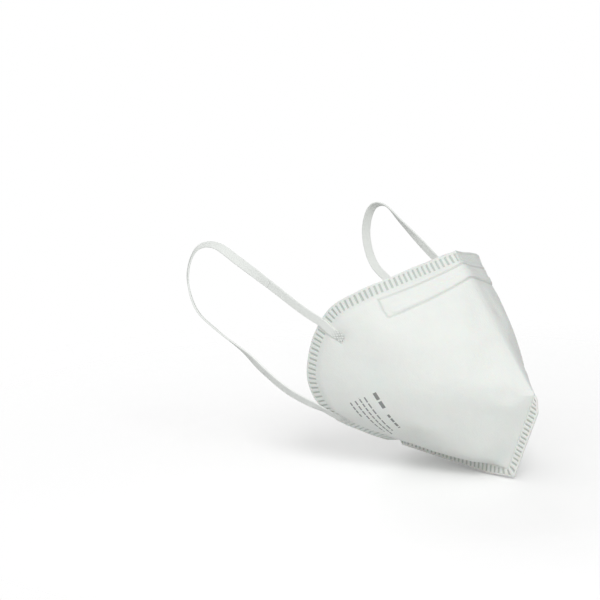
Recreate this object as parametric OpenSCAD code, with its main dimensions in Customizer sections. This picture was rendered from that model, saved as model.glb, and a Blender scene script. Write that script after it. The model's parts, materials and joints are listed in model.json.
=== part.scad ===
// Fold-flat disposable dust mask with two elastic ear loops, drawn open as it is worn.
// X points to the wearer's left, -Y forward from the face and +Z up.
// The origin is the centre of the face opening.
// Each side of the mask is one curved surface. A station runs from 0 at the nose bridge, down the
// fold to the tip, down the front seam and back under the chin to 1. At each station a rib runs
// from the centre line, where its place is 0, to the edge of the face opening, where it is 1.

/* [Face opening] */
// Width of the face opening at the cheeks
face_width = 126; // [118:1:134]
// Height of the face opening from the nose bridge to the chin
face_height = 113; // [106:1:120]
// Depth of the mask from the middle of the face opening to the tip of the fold
tip_depth = 73.5; // [69:0.5:78]

/* [Welds] */
// Width of the welded band round the face opening
rim_band = 5.5; // [4.5:0.5:6.5]
// Thickness of the welded rim band
rim_t = 1; // [0.8:0.1:1.2]
// Thickness of the flange welded along the front and under the chin
flange_t = 1.2; // [0.8:0.1:1.6]

/* [Layers] */
// Thickness of the outer cover
cover_t = 0.35; // [0.25:0.05:0.4]
// Thickness of each filter layer
filter_t = 0.3; // [0.2:0.05:0.35]
// Thickness of the stiff support layer
support_t = 0.5; // [0.4:0.05:0.6]
// Thickness of the inner lining
lining_t = 0.3; // [0.2:0.05:0.35]
// Clear gap between one layer and the next
layer_gap = 0.06; // [0.05:0.01:0.08]

/* [Nose wire] */
// Thickness of the flat nose wire
wire_t = 0.6; // [0.4:0.1:0.7]
// Height of the space that the wire has under the cover
wire_room = 1.2; // [1.1:0.1:1.4]

/* [Ear loops] */
// Width of the flat elastic
loop_w = 5; // [4:0.5:6]
// Thickness of the flat elastic
loop_t = 0.9; // [0.7:0.1:1.1]

/* [Fold] */
// Angle by which each side panel can fold towards the middle
fold_angle = 24; // [18:1:26]

/* [Hidden] */

cover_colour = "#f1f3f0";
filter_colour = "#f8f8f6";
support_colour = "#e6e9e4";
lining_colour = "#f4f6f3";
weld_colour = "#d9ddd8";
wire_colour = "#aeb4b8";
loop_colour = "#e2e8e0";

// Scale of each axis against the reference size that the tables below are written for
SIZE = [face_width / 126, tip_depth / 73.5, face_height / 113];
function sized(p) = [p.x * SIZE.x, p.y * SIZE.y, p.z * SIZE.z];

// Centre line at its corners: nose bridge, tip, front corner and chin
NOSE = sized([0, -19, 56.5]);
TIP = sized([0, -73.5, -16.5]);
CORNER = sized([0, -57, -61]);
CHIN = sized([0, 19, -56.5]);
tip_at = 0.6;
corner_at = 0.8;
// Point inside the mask that the layers face at the seams
INSIDE = sized([0, -10, -12]);
// Distance of a layer's edge from the mid-plane
edge_x = 0.12;

// Edge of the face opening: station and position
RIM = [for (r = [
    [0.00, [0, -19, 56.5]],
    [0.10, [14, -13.3, 52.6]],
    [0.20, [28, -8.6, 49.4]],
    [0.30, [42, -3, 45.3]],
    [0.40, [54, 5.7, 39.7]],
    [0.50, [62, 22.5, 26.6]],
    [0.56, [63, 31.5, 10.5]],
    [0.62, [62.5, 35.8, -7]],
    [0.68, [60.5, 35.3, -19]],
    [0.73, [56.5, 32.5, -28]],
    [0.80, [44, 26.4, -37.7]],
    [0.85, [35, 21.5, -43]],
    [0.90, [26, 17, -48.3]],
    [0.95, [14, 15.7, -54.4]],
    [1.00, [0, 19, -56.5]]
]) [r[0], sized(r[1])]];

// Angle between a rib and the mid-plane, at the centre line and at the face opening
LEAVE = [[0, 72], [0.1, 70], [0.2, 66], [0.3, 60], [0.4, 55], [0.5, 50], [0.6, 48], [0.7, 46], [0.8, 48],
    [0.9, 52], [1, 60]];
ARRIVE = [[0, 60], [0.1, 66], [0.2, 60], [0.3, 45], [0.4, 32], [0.5, 10], [0.6, 0], [0.67, 5], [0.74, 12],
    [0.8, 25], [0.87, 40], [0.93, 50], [1, 70]];

// A smooth curve through rows of [key, point]
function slope(rows, i) = (rows[i + 1][1] - rows[i][1]) / (rows[i + 1][0] - rows[i][0]);
function tangent(rows, i) =
    i == 0 ? slope(rows, 0) :
    i == len(rows) - 1 ? slope(rows, i - 1) :
    let (before = rows[i][0] - rows[i - 1][0], after = rows[i + 1][0] - rows[i][0])
    (slope(rows, i - 1) * after + slope(rows, i) * before) / (before + after);
function row_at(rows, key, i = 0) =
    i >= len(rows) - 2 || key < rows[i + 1][0] ? i : row_at(rows, key, i + 1);
function curve(rows, key) =
    let (i = row_at(rows, key), h = rows[i + 1][0] - rows[i][0], s = (key - rows[i][0]) / h)
    (2 * s ^ 3 - 3 * s ^ 2 + 1) * rows[i][1] + (s ^ 3 - 2 * s ^ 2 + s) * h * tangent(rows, i)
    + (3 * s ^ 2 - 2 * s ^ 3) * rows[i + 1][1] + (s ^ 3 - s ^ 2) * h * tangent(rows, i + 1);
function smooth(x) = let (s = min(1, max(0, x))) s * s * (3 - 2 * s);
function unit(v) = v / max(norm(v), 1e-9);
function mix(a, b, s) = a * (1 - s) + b * s;

// Centre line of one side at a station
function centre(t) =
    t < tip_at ? mix(NOSE, TIP, t / tip_at) :
    t < corner_at ? mix(TIP, CORNER, (t - tip_at) / (corner_at - tip_at)) :
    mix(CORNER, CHIN, (t - corner_at) / (1 - corner_at));
function edge_point(t) = centre(t) + [edge_x, 0, 0];

// The two inner control points of a rib, as curves over the stations
function rib_aim(t, angle) =
    let (c = centre(t), d = curve(RIM, t) - c)
    norm(d) / 3 * ([sin(angle), 0, 0] + cos(angle) * unit([0, d.y, d.z]));
NEAR = [for (r = RIM) [r[0], centre(r[0]) + rib_aim(r[0], lookup(r[0], LEAVE))]];
FAR = [for (r = RIM) [r[0], r[1] - rib_aim(r[0], lookup(r[0], ARRIVE))]];
function rib_length(t) = norm(curve(RIM, t) - centre(t));

// Outer surface of the left side
function skin_point(t, u) =
    (1 - u) ^ 3 * edge_point(t) + 3 * (1 - u) ^ 2 * u * curve(NEAR, t)
    + 3 * (1 - u) * u ^ 2 * curve(FAR, t) + u ^ 3 * curve(RIM, t);
function inward(t, u) =
    let (e = 0.004, t0 = max(0, t - e), t1 = min(1, t + e), u0 = max(0, u - e), u1 = min(1, u + e))
    unit(cross(skin_point(t, u1) - skin_point(t, u0), skin_point(t1, u) - skin_point(t0, u)));

// Axis of the fold, and the direction straight back from it in the mid-plane
AXIS = unit(TIP - NOSE);
BACK = [0, -AXIS.z, AXIS.y];
// Layers keep outside this plane through the fold, so that both sides can close
fold_clear = fold_angle + 2;
// Direction into the layers at the centre line: beyond the tip it turns towards the inside
miter_turn = 0.05;
function miter(t) =
    t < tip_at ? [sin(fold_clear), 0, 0] + cos(fold_clear) * BACK :
    unit(mix(BACK, unit(INSIDE - centre(t)), smooth((t - tip_at) / miter_turn)));
// Distance over which that direction gives way to the surface's own, and its stretch of depths
miter_reach = 9;
miter_stretch = 1.6;

// Border between the side panel, which folds, and the chin part, which does not
border_span = 0.155;
border_gap = 0.007;
function border(u) = tip_at + border_span * u ^ 0.625;
// Direction in which a point of the left side moves as it folds inwards
function closing(p) = unit(cross(p - NOSE, AXIS));
// Direction into the layers: square to the surface, but along the fold's motion beside the border,
// so that the two parts slide past each other
border_zone = 0.03;
least_slant = 0.5;
function layer_way(t, u) =
    let (
        square = inward(t, u),
        sliding = closing(skin_point(t, u)),
        near = 1 - smooth(abs(t - border(u)) / border_zone)
    )
    mix(square, sliding / max(least_slant, square * sliding), near);
// Point at a depth under the outer surface; a negative depth stands outside it
function under(t, u, depth) =
    let (s = smooth(u * rib_length(t) / miter_reach))
    skin_point(t, u) + mix(miter(t) * miter_stretch, layer_way(t, u), s) * depth;

// Place on a rib at a distance from the face opening
function place_from_rim(t, distance) = max(0.03, 1 - distance / rib_length(t));
band_gap = 0.5;

// Grids of [station, place] for the two parts of a side
panel_first = 0.055;
chin_last = 0.975;
function panel_station(row, u) = mix(panel_first, border(u) - border_gap / 2, row);
function chin_station(row, u) = mix(border(u) + border_gap / 2, chin_last, row);
function layer_edge(t) = place_from_rim(t, rim_band + band_gap);
function panel_grid(rows, cols) = [for (i = [0:rows]) [for (j = [0:cols])
    let (
        near = layer_edge(panel_station(i / rows, j / cols)) * j / cols,
        u = layer_edge(panel_station(i / rows, near)) * j / cols
    )
    [panel_station(i / rows, u), u]]];
function chin_grid(rows, cols) = [for (i = [0:rows]) [for (j = [0:cols])
    let (
        near = layer_edge(chin_station(i / rows, j / cols)) * j / cols,
        u = layer_edge(chin_station(i / rows, near)) * j / cols
    )
    [chin_station(i / rows, u), u]]];
function band_grid(first, last, rows) = [for (i = [0:rows]) [for (j = [0:2])
    let (t = mix(first, last, i / rows)) [t, mix(place_from_rim(t, rim_band), 1, j / 2)]]];

// A closed solid between two equal grids of points, the first of them on the outside
module sheet(outer, inner) {
    rows = len(outer);
    cols = len(outer[0]);
    count = rows * cols;
    points = [each [for (row = outer) each row], each [for (row = inner) each row]];
    skin = [for (r = [0:rows - 2]) for (c = [0:cols - 2]) let (k = r * cols + c)
        each [[k, k + 1, k + cols + 1], [k, k + cols + 1, k + cols]]];
    border = [
        each [for (c = [0:cols - 2]) [c + 1, c]],
        each [for (c = [0:cols - 2]) [count - cols + c, count - cols + c + 1]],
        each [for (r = [0:rows - 2]) [r * cols, (r + 1) * cols]],
        each [for (r = [0:rows - 2]) [(r + 2) * cols - 1, (r + 1) * cols - 1]]
    ];
    walls = [for (e = border) each [[e[0], e[1], e[1] + count], [e[0], e[1] + count, e[0] + count]]];
    back = [for (f = skin) [f[2] + count, f[1] + count, f[0] + count]];
    polyhedron(points, [each skin, each back, each walls]);
}

// A sheet that follows the surface over a grid, between two depths
module shell(grid, from, to, room = 0) {
    outer = [for (row = grid) [for (g = row) under(g[0], g[1], from + room * wire_space(g[0]))]];
    inner = [for (row = grid) [for (g = row) under(g[0], g[1], to + room * wire_space(g[0]))]];
    sheet(outer, inner);
}

module both() {
    children();
    mirror([1, 0, 0]) children();
}

// The layers under the cover step back near the nose to leave room for the wire
wire_space_end = 0.6;
wire_space_full = 0.46;
function wire_space(t) = 1 - smooth((t - wire_space_full) / (wire_space_end - wire_space_full));

filter_one_at = cover_t + layer_gap;
filter_two_at = filter_one_at + filter_t + layer_gap;
support_at = filter_two_at + filter_t + layer_gap;
lining_at = support_at + support_t + layer_gap;

PANEL = panel_grid(20, 9);
CHIN_PART = chin_grid(12, 8);
band_first = 0.012;
band_last = 0.985;

module layer_panel(at, thickness, room) {
    shell(PANEL, at, at + thickness, room);
}
module layer_chin(at, thickness, room) {
    both() shell(CHIN_PART, at, at + thickness, room);
}

module outer_cover_left() {
    color(cover_colour) layer_panel(0, cover_t, 0);
}
module outer_cover_right() {
    mirror([1, 0, 0]) outer_cover_left();
}
module outer_cover_chin() {
    color(cover_colour) layer_chin(0, cover_t, 0);
}
module filter_one_left() {
    color(filter_colour) layer_panel(filter_one_at, filter_t, wire_room);
}
module filter_one_right() {
    mirror([1, 0, 0]) filter_one_left();
}
module filter_one_chin() {
    color(filter_colour) layer_chin(filter_one_at, filter_t, wire_room);
}
module filter_two_left() {
    color(filter_colour) layer_panel(filter_two_at, filter_t, wire_room);
}
module filter_two_right() {
    mirror([1, 0, 0]) filter_two_left();
}
module filter_two_chin() {
    color(filter_colour) layer_chin(filter_two_at, filter_t, wire_room);
}
module support_layer_left() {
    color(support_colour) layer_panel(support_at, support_t, wire_room);
}
module support_layer_right() {
    mirror([1, 0, 0]) support_layer_left();
}
module support_layer_chin() {
    color(support_colour) layer_chin(support_at, support_t, wire_room);
}
module inner_lining_left() {
    color(lining_colour) layer_panel(lining_at, lining_t, wire_room);
}
module inner_lining_right() {
    mirror([1, 0, 0]) inner_lining_left();
}
module inner_lining_chin() {
    color(lining_colour) layer_chin(lining_at, lining_t, wire_room);
}

// Welded band round the face opening
module rim_weld_left() {
    color(weld_colour) shell(band_grid(band_first, border(1) - border_gap / 2, 34), 0, rim_t);
}
module rim_weld_right() {
    mirror([1, 0, 0]) rim_weld_left();
}
module rim_weld_chin() {
    color(weld_colour) both() shell(band_grid(border(1) + border_gap / 2, band_last, 14), 0, rim_t);
}

// Flat flanges in the mid-plane, from [y, z] corners
function flat(p) = [p.y, p.z];
seam_gap = 0.3;
FLANGE_TOP = flat(TIP + AXIS * 3);
FLANGE_FRONT = flat(sized([0, -76.2, -26]));
FLANGE_CORNER = flat(sized([0, -61.2, -65.2]));
FLANGE_UNDER = flat(sized([0, -42.6, -66.3]));
FLANGE_REAR = flat(sized([0, 16.9, -61]));
SEAM_OUT = [0, -0.94, -0.35] * seam_gap;
SEAM_DOWN = [0, 0, -1] * seam_gap;
module flange(corners) {
    rotate([90, 0, 90]) linear_extrude(flange_t, center = true) polygon(corners);
}
module front_seam_weld() {
    color(weld_colour) flange([
        flat(TIP + AXIS * seam_gap), FLANGE_TOP, FLANGE_FRONT, FLANGE_CORNER, flat(CORNER + SEAM_OUT)
    ]);
}
module chin_seam_weld() {
    color(weld_colour) flange([
        flat(CORNER + SEAM_OUT), FLANGE_CORNER, FLANGE_UNDER, FLANGE_REAR, flat(CHIN + SEAM_DOWN)
    ]);
}

// Pocket of the nose wire: stations and places of its upper and lower line, from the fold outwards
POCKET_TOP = [[0, [0.062, 0.16, 0]], [0.2, [0.14, 0.54, 0]], [0.4, [0.218, 0.68, 0]],
    [0.6, [0.285, 0.755, 0]], [0.8, [0.348, 0.82, 0]], [1, [0.404, 0.867, 0]]];
POCKET_LOW = [[0, [0.125, 0.1, 0]], [0.2, [0.197, 0.33, 0]], [0.4, [0.262, 0.483, 0]],
    [0.6, [0.325, 0.585, 0]], [0.8, [0.387, 0.665, 0]], [1, [0.446, 0.733, 0]]];
// The wire's own ends along the pocket, and its edges across it
WIRE_ALONG = [0.04, 0.96];
WIRE_ACROSS = [0.5, 0.9];
module nose_wire_left() {
    grid = [for (i = [0:12]) [for (j = [2:-1:0])
        let (
            along = mix(WIRE_ALONG[0], WIRE_ALONG[1], i / 12),
            across = mix(WIRE_ACROSS[0], WIRE_ACROSS[1], j / 2),
            g = mix(curve(POCKET_TOP, along), curve(POCKET_LOW, along), across)
        )
        [g.x, g.y]]];
    wire_at = cover_t + (wire_room + layer_gap - wire_t) / 2;
    color(wire_colour) shell(grid, wire_at, wire_at + wire_t);
}
module nose_wire_right() {
    mirror([1, 0, 0]) nose_wire_left();
}

// Ear loop of the left side: key, point and the tilt of the flat face from sideways
LOOP_PATH = [for (r = [
    [0, [63.5, 27.3, 19.6]],
    [1, [66.2, 38.1, 27.5]],
    [2, [69.3, 57.1, 38.4]],
    [3, [72.8, 75.9, 49.1]],
    [4, [76, 91, 57]],
    [5, [78.6, 103, 53]],
    [6, [79.8, 108, 37]],
    [7, [79.6, 102, 19.5]],
    [8, [78.6, 86.5, 9]],
    [9, [76.8, 68.5, -0.5]],
    [10, [73, 57, -10.8]],
    [11, [66, 44, -22]],
    [12, [56.2, 32.2, -30]]
]) [r[0], sized(r[1])]];
LOOP_TILT = [[0, 4], [2, 8], [3, 35], [4, 62], [6, 45], [8, 62], [10, 68], [12, 60]];
LOOP_MIDDLE = sized([0, 84, 29]);
function loop_normal(key) =
    let (p = curve(LOOP_PATH, key) - LOOP_MIDDLE, r = unit([0, p.y, p.z]), a = lookup(key, LOOP_TILT))
    [cos(a), 0, 0] + sin(a) * r;
function loop_across(key) =
    unit(cross(loop_normal(key), curve(LOOP_PATH, key + 0.02) - curve(LOOP_PATH, key - 0.02)));
module elastic(first, last, steps) {
    keys = [for (i = [0:steps]) mix(first, last, i / steps)];
    mid = [for (k = keys) curve(LOOP_PATH, k)];
    across = [for (k = keys) loop_across(k) * loop_w / 2];
    lift = [for (i = [0:steps]) loop_normal(keys[i]) * loop_t / 2];
    sheet(
        [for (i = [0:steps]) [mid[i] - across[i] + lift[i], mid[i] + across[i] + lift[i]]],
        [for (i = [0:steps]) [mid[i] - across[i] - lift[i], mid[i] + across[i] - lift[i]]]
    );
}
// Keys at which the loop leaves the panel, turns into the rear bight and comes back
loop_start = 0.15;
bight_start = 3.6;
bight_end = 9;
loop_end = 11.8;
strand_gap = 0.02;
module loop_top_strand_left() {
    color(loop_colour) elastic(loop_start, bight_start - strand_gap, 14);
}
module loop_top_strand_right() {
    mirror([1, 0, 0]) loop_top_strand_left();
}
module loop_bight_left() {
    color(loop_colour) elastic(bight_start, bight_end, 24);
}
module loop_bight_right() {
    mirror([1, 0, 0]) loop_bight_left();
}
module loop_low_strand_left() {
    color(loop_colour) elastic(bight_end + strand_gap, loop_end, 12);
}
module loop_low_strand_right() {
    mirror([1, 0, 0]) loop_low_strand_left();
}

// Ends of the elastic, welded on the outside of the panel across the rim band
end_clear = 0.1;
module loop_end_strip(inner, outer, half_span) {
    grid = [for (i = [0:4]) [for (j = [0:4])
        [mix(inner[0], outer[0], j / 4) + half_span * (i / 2 - 1), mix(inner[1], outer[1], j / 4)]]];
    shell(grid, -end_clear - loop_t, -end_clear);
}
module loop_top_end_left() {
    color(loop_colour) loop_end_strip([0.545, 0.85], [0.528, 0.995], 0.008);
}
module loop_top_end_right() {
    mirror([1, 0, 0]) loop_top_end_left();
}
module loop_low_end_left() {
    color(loop_colour) loop_end_strip([0.724, 0.86], [0.737, 0.995], 0.009);
}
module loop_low_end_right() {
    mirror([1, 0, 0]) loop_low_end_left();
}

outer_cover_left();
outer_cover_right();
outer_cover_chin();
filter_one_left();
filter_one_right();
filter_one_chin();
filter_two_left();
filter_two_right();
filter_two_chin();
support_layer_left();
support_layer_right();
support_layer_chin();
inner_lining_left();
inner_lining_right();
inner_lining_chin();
rim_weld_left();
rim_weld_right();
rim_weld_chin();
front_seam_weld();
chin_seam_weld();
nose_wire_left();
nose_wire_right();
loop_top_end_left();
loop_top_end_right();
loop_low_end_left();
loop_low_end_right();
loop_top_strand_left();
loop_top_strand_right();
loop_low_strand_left();
loop_low_strand_right();
loop_bight_left();
loop_bight_right();
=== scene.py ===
"""A fold-flat dust mask with two ear loops: its fabric, welds and elastic, built round the CAD frame.

Points are worked out in millimetres for the mask's left side, x > 0, and mirrored for the right.
A station runs from 0 at the nose bridge, down the fold to the tip, down the front seam and back
under the chin to 1. A place runs along a rib from the centre line, 0, to the face opening, 1.
"""

import json
import math

import bmesh
import bpy
import numpy as np
from mathutils import Matrix, Vector


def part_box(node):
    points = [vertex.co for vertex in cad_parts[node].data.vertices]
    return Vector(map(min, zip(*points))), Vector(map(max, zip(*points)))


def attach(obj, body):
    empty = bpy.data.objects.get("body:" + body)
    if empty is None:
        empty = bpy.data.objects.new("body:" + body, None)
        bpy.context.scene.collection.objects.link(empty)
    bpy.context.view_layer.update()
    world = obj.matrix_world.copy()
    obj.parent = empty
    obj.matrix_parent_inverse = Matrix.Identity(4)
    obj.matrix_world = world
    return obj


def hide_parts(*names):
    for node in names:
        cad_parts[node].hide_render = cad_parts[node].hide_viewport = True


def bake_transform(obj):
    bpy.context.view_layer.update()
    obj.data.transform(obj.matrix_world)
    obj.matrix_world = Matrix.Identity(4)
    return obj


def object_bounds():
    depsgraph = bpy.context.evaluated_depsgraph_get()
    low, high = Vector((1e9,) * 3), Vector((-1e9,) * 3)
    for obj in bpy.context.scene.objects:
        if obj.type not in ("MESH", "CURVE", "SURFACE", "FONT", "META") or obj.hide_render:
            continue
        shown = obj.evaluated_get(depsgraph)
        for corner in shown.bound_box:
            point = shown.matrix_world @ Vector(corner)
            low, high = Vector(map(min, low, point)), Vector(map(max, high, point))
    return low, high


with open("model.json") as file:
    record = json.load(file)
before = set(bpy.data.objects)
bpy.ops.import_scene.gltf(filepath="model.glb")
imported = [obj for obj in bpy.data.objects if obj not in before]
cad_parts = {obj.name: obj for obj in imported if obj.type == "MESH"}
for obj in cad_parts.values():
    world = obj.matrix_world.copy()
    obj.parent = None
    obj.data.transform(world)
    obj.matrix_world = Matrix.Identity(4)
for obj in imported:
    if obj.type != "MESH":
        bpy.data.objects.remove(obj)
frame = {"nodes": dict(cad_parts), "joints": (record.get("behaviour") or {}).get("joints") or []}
cad_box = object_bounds()

MM = 0.001
SIDES = {"left": 1, "right": -1}

# ---------------------------------------------------------------- small maths


def smooth(x):
    """Soft step from 0 to 1."""
    s = np.clip(x, 0, 1)
    return s * s * (3 - 2 * s)


def mix(a, b, s):
    return a * (1 - s) + b * s


def unit(v):
    v = np.asarray(v, float)
    return v / np.maximum(np.linalg.norm(v, axis=-1, keepdims=True), 1e-9)


def size(v):
    return np.linalg.norm(v, axis=-1)


def rows_of(table, scale=1.0):
    """Keys and points of a table of [key, point] rows."""
    return np.array([r[0] for r in table], float), np.array([r[1] for r in table], float) * scale


def curve(rows, key):
    """A smooth curve through (keys, points), at an array of keys."""
    keys, points = rows
    gap = np.diff(keys)
    slope = np.diff(points, axis=0) / gap[:, None]
    middle = slope[:-1] * gap[1:, None] + slope[1:] * gap[:-1, None]
    tangent = np.vstack([slope[:1], middle / (gap[:-1] + gap[1:])[:, None], slope[-1:]])
    key = np.asarray(key, float)
    i = np.clip(np.searchsorted(keys, key, "right") - 1, 0, len(keys) - 2)
    h = gap[i][..., None]
    s = ((key - keys[i]) / gap[i])[..., None]
    return (
        (2 * s**3 - 3 * s**2 + 1) * points[i] + (s**3 - 2 * s**2 + s) * h * tangent[i]
        + (3 * s**2 - 2 * s**3) * points[i + 1] + (s**3 - s**2) * h * tangent[i + 1]
    )


def arc_length(points):
    return np.concatenate([[0], np.cumsum(size(np.diff(points, axis=0)))])


def blurred(values, half, ends="edge"):
    """Running average along the first axis, three times over."""
    for _ in range(3):
        if ends == "line":
            steps = np.arange(half, 0, -1)[:, None]
            before = values[0] + (values[0] - values[1]) * steps
            after = values[-1] + (values[-1] - values[-2]) * steps[::-1]
        else:
            before, after = np.repeat(values[:1], half, 0), np.repeat(values[-1:], half, 0)
        wide = np.concatenate([before, values, after])
        total = np.concatenate([0 * wide[:1], np.cumsum(wide, axis=0)])
        values = (total[2 * half + 1:] - total[:-2 * half - 1]) / (2 * half + 1)
    return values


def nearest(points, line):
    """Distance from each point to the closest point of a densely sampled line."""
    flat = points.reshape(-1, 3)
    best = np.empty(len(flat))
    for start in range(0, len(flat), 4000):
        part = flat[start:start + 4000]
        best[start:start + 4000] = size(part[:, None] - line[None]).min(axis=1)
    return best.reshape(points.shape[:-1])


# ---------------------------------------------------------------- the surface of one side

# The tables below are for a mask whose rim is WIDEST at the cheeks and whose flange reaches these
# points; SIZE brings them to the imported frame's size
FLANGE_FRONT = [0, -76.2, -26]
FLANGE_UNDER = [0, -42.6, -66.3]
WIDEST = 63.009


def corner(node, end):
    """Lowest (0) or highest (1) corner of a CAD node in millimetres."""
    return np.array(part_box(node)[end]) / MM


SIZE = np.array([
    corner("rim_weld_left", 1)[0] / WIDEST,
    corner("front_seam_weld", 0)[1] / FLANGE_FRONT[1],
    corner("chin_seam_weld", 0)[2] / FLANGE_UNDER[2],
])


def sized(p):
    return np.array(p, float) * SIZE


NOSE = sized([0, -19, 56.5])
TIP = sized([0, -73.5, -16.5])
CORNER = sized([0, -57, -61])
CHIN = sized([0, 19, -56.5])
INSIDE = sized([0, -10, -12])
TIP_AT, CORNER_AT = 0.6, 0.8
AXIS = unit(TIP - NOSE)
BACK = np.array([0, -AXIS[2], AXIS[1]])
FOLD_CLEAR = math.radians(26)

RIM = rows_of([
    [0.00, [0, -19, 56.5]],
    [0.10, [14, -13.3, 52.6]],
    [0.20, [28, -8.6, 49.4]],
    [0.30, [42, -3, 45.3]],
    [0.40, [54, 5.7, 39.7]],
    [0.50, [62, 22.5, 26.6]],
    [0.56, [63, 31.5, 10.5]],
    [0.62, [62.5, 35.8, -7]],
    [0.68, [60.5, 35.3, -19]],
    [0.73, [56.5, 32.5, -28]],
    [0.80, [44, 26.4, -37.7]],
    [0.85, [35, 21.5, -43]],
    [0.90, [26, 17, -48.3]],
    [0.95, [14, 15.7, -54.4]],
    [1.00, [0, 19, -56.5]],
], SIZE)
# Angle between a rib and the mid-plane, at the centre line and at the face opening
LEAVE = [[0, 0.1, 0.2, 0.3, 0.4, 0.5, 0.6, 0.7, 0.8, 0.9, 1],
         [72, 70, 66, 60, 55, 50, 48, 46, 48, 52, 60]]
ARRIVE = [[0, 0.1, 0.2, 0.3, 0.4, 0.5, 0.6, 0.67, 0.74, 0.8, 0.87, 0.93, 1],
          [60, 66, 60, 45, 32, 10, 0, 5, 12, 25, 40, 50, 70]]


def centre(t):
    """Centre line of the side at its stations."""
    t = np.asarray(t, float)[..., None]
    fold = mix(NOSE, TIP, t / TIP_AT)
    front = mix(TIP, CORNER, (t - TIP_AT) / (CORNER_AT - TIP_AT))
    under = mix(CORNER, CHIN, (t - CORNER_AT) / (1 - CORNER_AT))
    return np.where(t < TIP_AT, fold, np.where(t < CORNER_AT, front, under))


def rib_aims(angles, end):
    """Inner control points of the ribs at the rim's stations."""
    keys, rim = RIM
    middle = centre(keys)
    reach = rim - middle
    flat = reach * [0, 1, 1]
    a = np.radians(np.interp(keys, *angles))[:, None]
    aim = size(reach)[:, None] / 3 * (np.sin(a) * [1, 0, 0] + np.cos(a) * unit(flat))
    return keys, (middle + aim if end == 0 else rim - aim)


NEAR = rib_aims(LEAVE, 0)
FAR = rib_aims(ARRIVE, 1)


def plain_skin(t, u):
    """Outer surface of the left side, with its centre line in the mid-plane."""
    t, u = np.broadcast_arrays(np.asarray(t, float), np.asarray(u, float))
    v = u[..., None]
    return ((1 - v)**3 * centre(t) + 3 * (1 - v)**2 * v * curve(NEAR, t)
            + 3 * (1 - v) * v**2 * curve(FAR, t) + v**3 * curve(RIM, t))


RIDGE_ROUND = 0.55
SEAM_HALF = 0.45
SEAM_OPENS = 0.592


def skin(t, u):
    """The same surface with the fold rounded off and the seam's edge at the flange."""
    p = plain_skin(t, u)
    t = np.broadcast_to(t, p.shape[:-1])
    u = np.broadcast_to(u, p.shape[:-1])
    back = (p - NOSE) @ BACK
    soft = RIDGE_ROUND * smooth(t / 0.03) * (1 - smooth((t - 0.565) / 0.035))
    p = p + (np.sqrt(back**2 + soft**2) - back)[..., None] * BACK
    p[..., 0] += SEAM_HALF * smooth((t - SEAM_OPENS) / 0.016) * (1 - u)**3
    return p


def outward(t, u):
    """Direction out of the surface; in the mid-plane along the fold."""
    e = 0.003
    t = np.clip(t, 0.012, 0.988)
    u = np.clip(u, 0, 1)
    across = skin(t, np.minimum(1, u + e)) - skin(t, np.maximum(0, u - e))
    along = skin(t + e, u) - skin(t - e, u)
    n = unit(np.cross(along, across))
    on_fold = (u < 1e-6) & (t < TIP_AT - e)
    n[..., 0] = np.where(on_fold, 0, n[..., 0])
    return unit(n)


# ---------------------------------------------------------------- rows and columns of a side

# Mesh rows within one bar's pitch, and which of them are pressed
RIM_PITCH = 3.1
BAR_ROWS = [0, 0.14, 0.27, 0.34, 0.5, 0.66, 0.73, 0.86]
BAR_PRESS = np.array([0, 0, 0, 1, 1, 1, 0, 0], float)
BAND = 7.0
BAND_COLUMNS = [0, 0.12, 0.35, 0.9, 1.35, 1.65, 2.4, 3.2, 4, 4.8, 5.45, 5.75, 6.3, BAND]
INNER_COLUMNS = 100
EDGE = len(BAND_COLUMNS) - 1

rim_keys = np.linspace(0, 1, 4001)
rim_arc = arc_length(curve(RIM, rim_keys))
rim_length = rim_arc[-1]
bars = round(rim_length / RIM_PITCH)


def rim_tangent(t_rim):
    """Direction along the face opening's edge, turned square to the mid-plane at its two ends."""
    e = 0.002
    tangent = unit(curve(RIM, np.minimum(1, t_rim + e)) - curve(RIM, np.maximum(0, t_rim - e)))
    arc = np.interp(t_rim, rim_keys, rim_arc)
    ends = 1 - smooth(np.minimum(arc, rim_length - arc) / 9)
    sideways = np.where(t_rim < 0.5, 1, -1)[:, None] * [1, 0, 0]
    return unit(mix(tangent, sideways, ends[:, None]))


def first_guess(t_rim, rim, d):
    """Rough station and place at a distance from the face opening."""
    t_top = t_rim + d * TIP_AT / size(TIP - NOSE)
    t_low = t_rim - d * (1 - CORNER_AT) / size(CHIN - CORNER)
    near_top, near_chin = t_rim < 0.3, t_rim > 0.88
    length = np.maximum(size(rim - centre(t_rim)), d)
    u_low = np.where(near_chin, (1 - t_rim) / (1 - t_low), 1 - d / length)
    t = np.where(near_top, t_top, np.where(near_chin, t_low, t_rim))
    return t, np.where(near_top, t_rim / t_top, u_low)


def square_to_rim(t_rim, distances):
    """Stations and places of points at each distance from the face opening, square to its edge."""
    rim = curve(RIM, t_rim)
    tangent = rim_tangent(t_rim)
    step = 1e-4

    def error(t, u, d):
        here = plain_skin(t, u) - rim
        return np.stack([np.sum(here * tangent, axis=1), size(here) - d])

    stations, places = [t_rim], [np.ones_like(t_rim)]
    for d in distances[1:]:
        t, u = first_guess(t_rim, rim, d)
        for _ in range(12):
            off = error(t, u, d)
            by_t = (error(t + step, u, d) - off) / step
            by_u = (off - error(t, u - step, d)) / step
            det = by_t[0] * by_u[1] - by_u[0] * by_t[1]
            det = np.where(np.abs(det) < 1e-6, 1e-6, det)
            dt = (off[0] * by_u[1] - off[1] * by_u[0]) / det
            du = (off[1] * by_t[0] - off[0] * by_t[1]) / det
            t = np.clip(t - np.clip(dt, -0.02, 0.02), 0, 1)
            u = np.clip(u - np.clip(du, -0.1, 0.1), 0, 1)
        stations.append(t)
        places.append(u)
    return np.stack(stations, axis=1), np.stack(places, axis=1)


def bar_places(count, length):
    """Places of the mesh rows along a welded edge with a number of bars."""
    rows = [(k + f) * length / count for k in range(count) for f in BAR_ROWS]
    return np.array(rows + [length])


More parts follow.
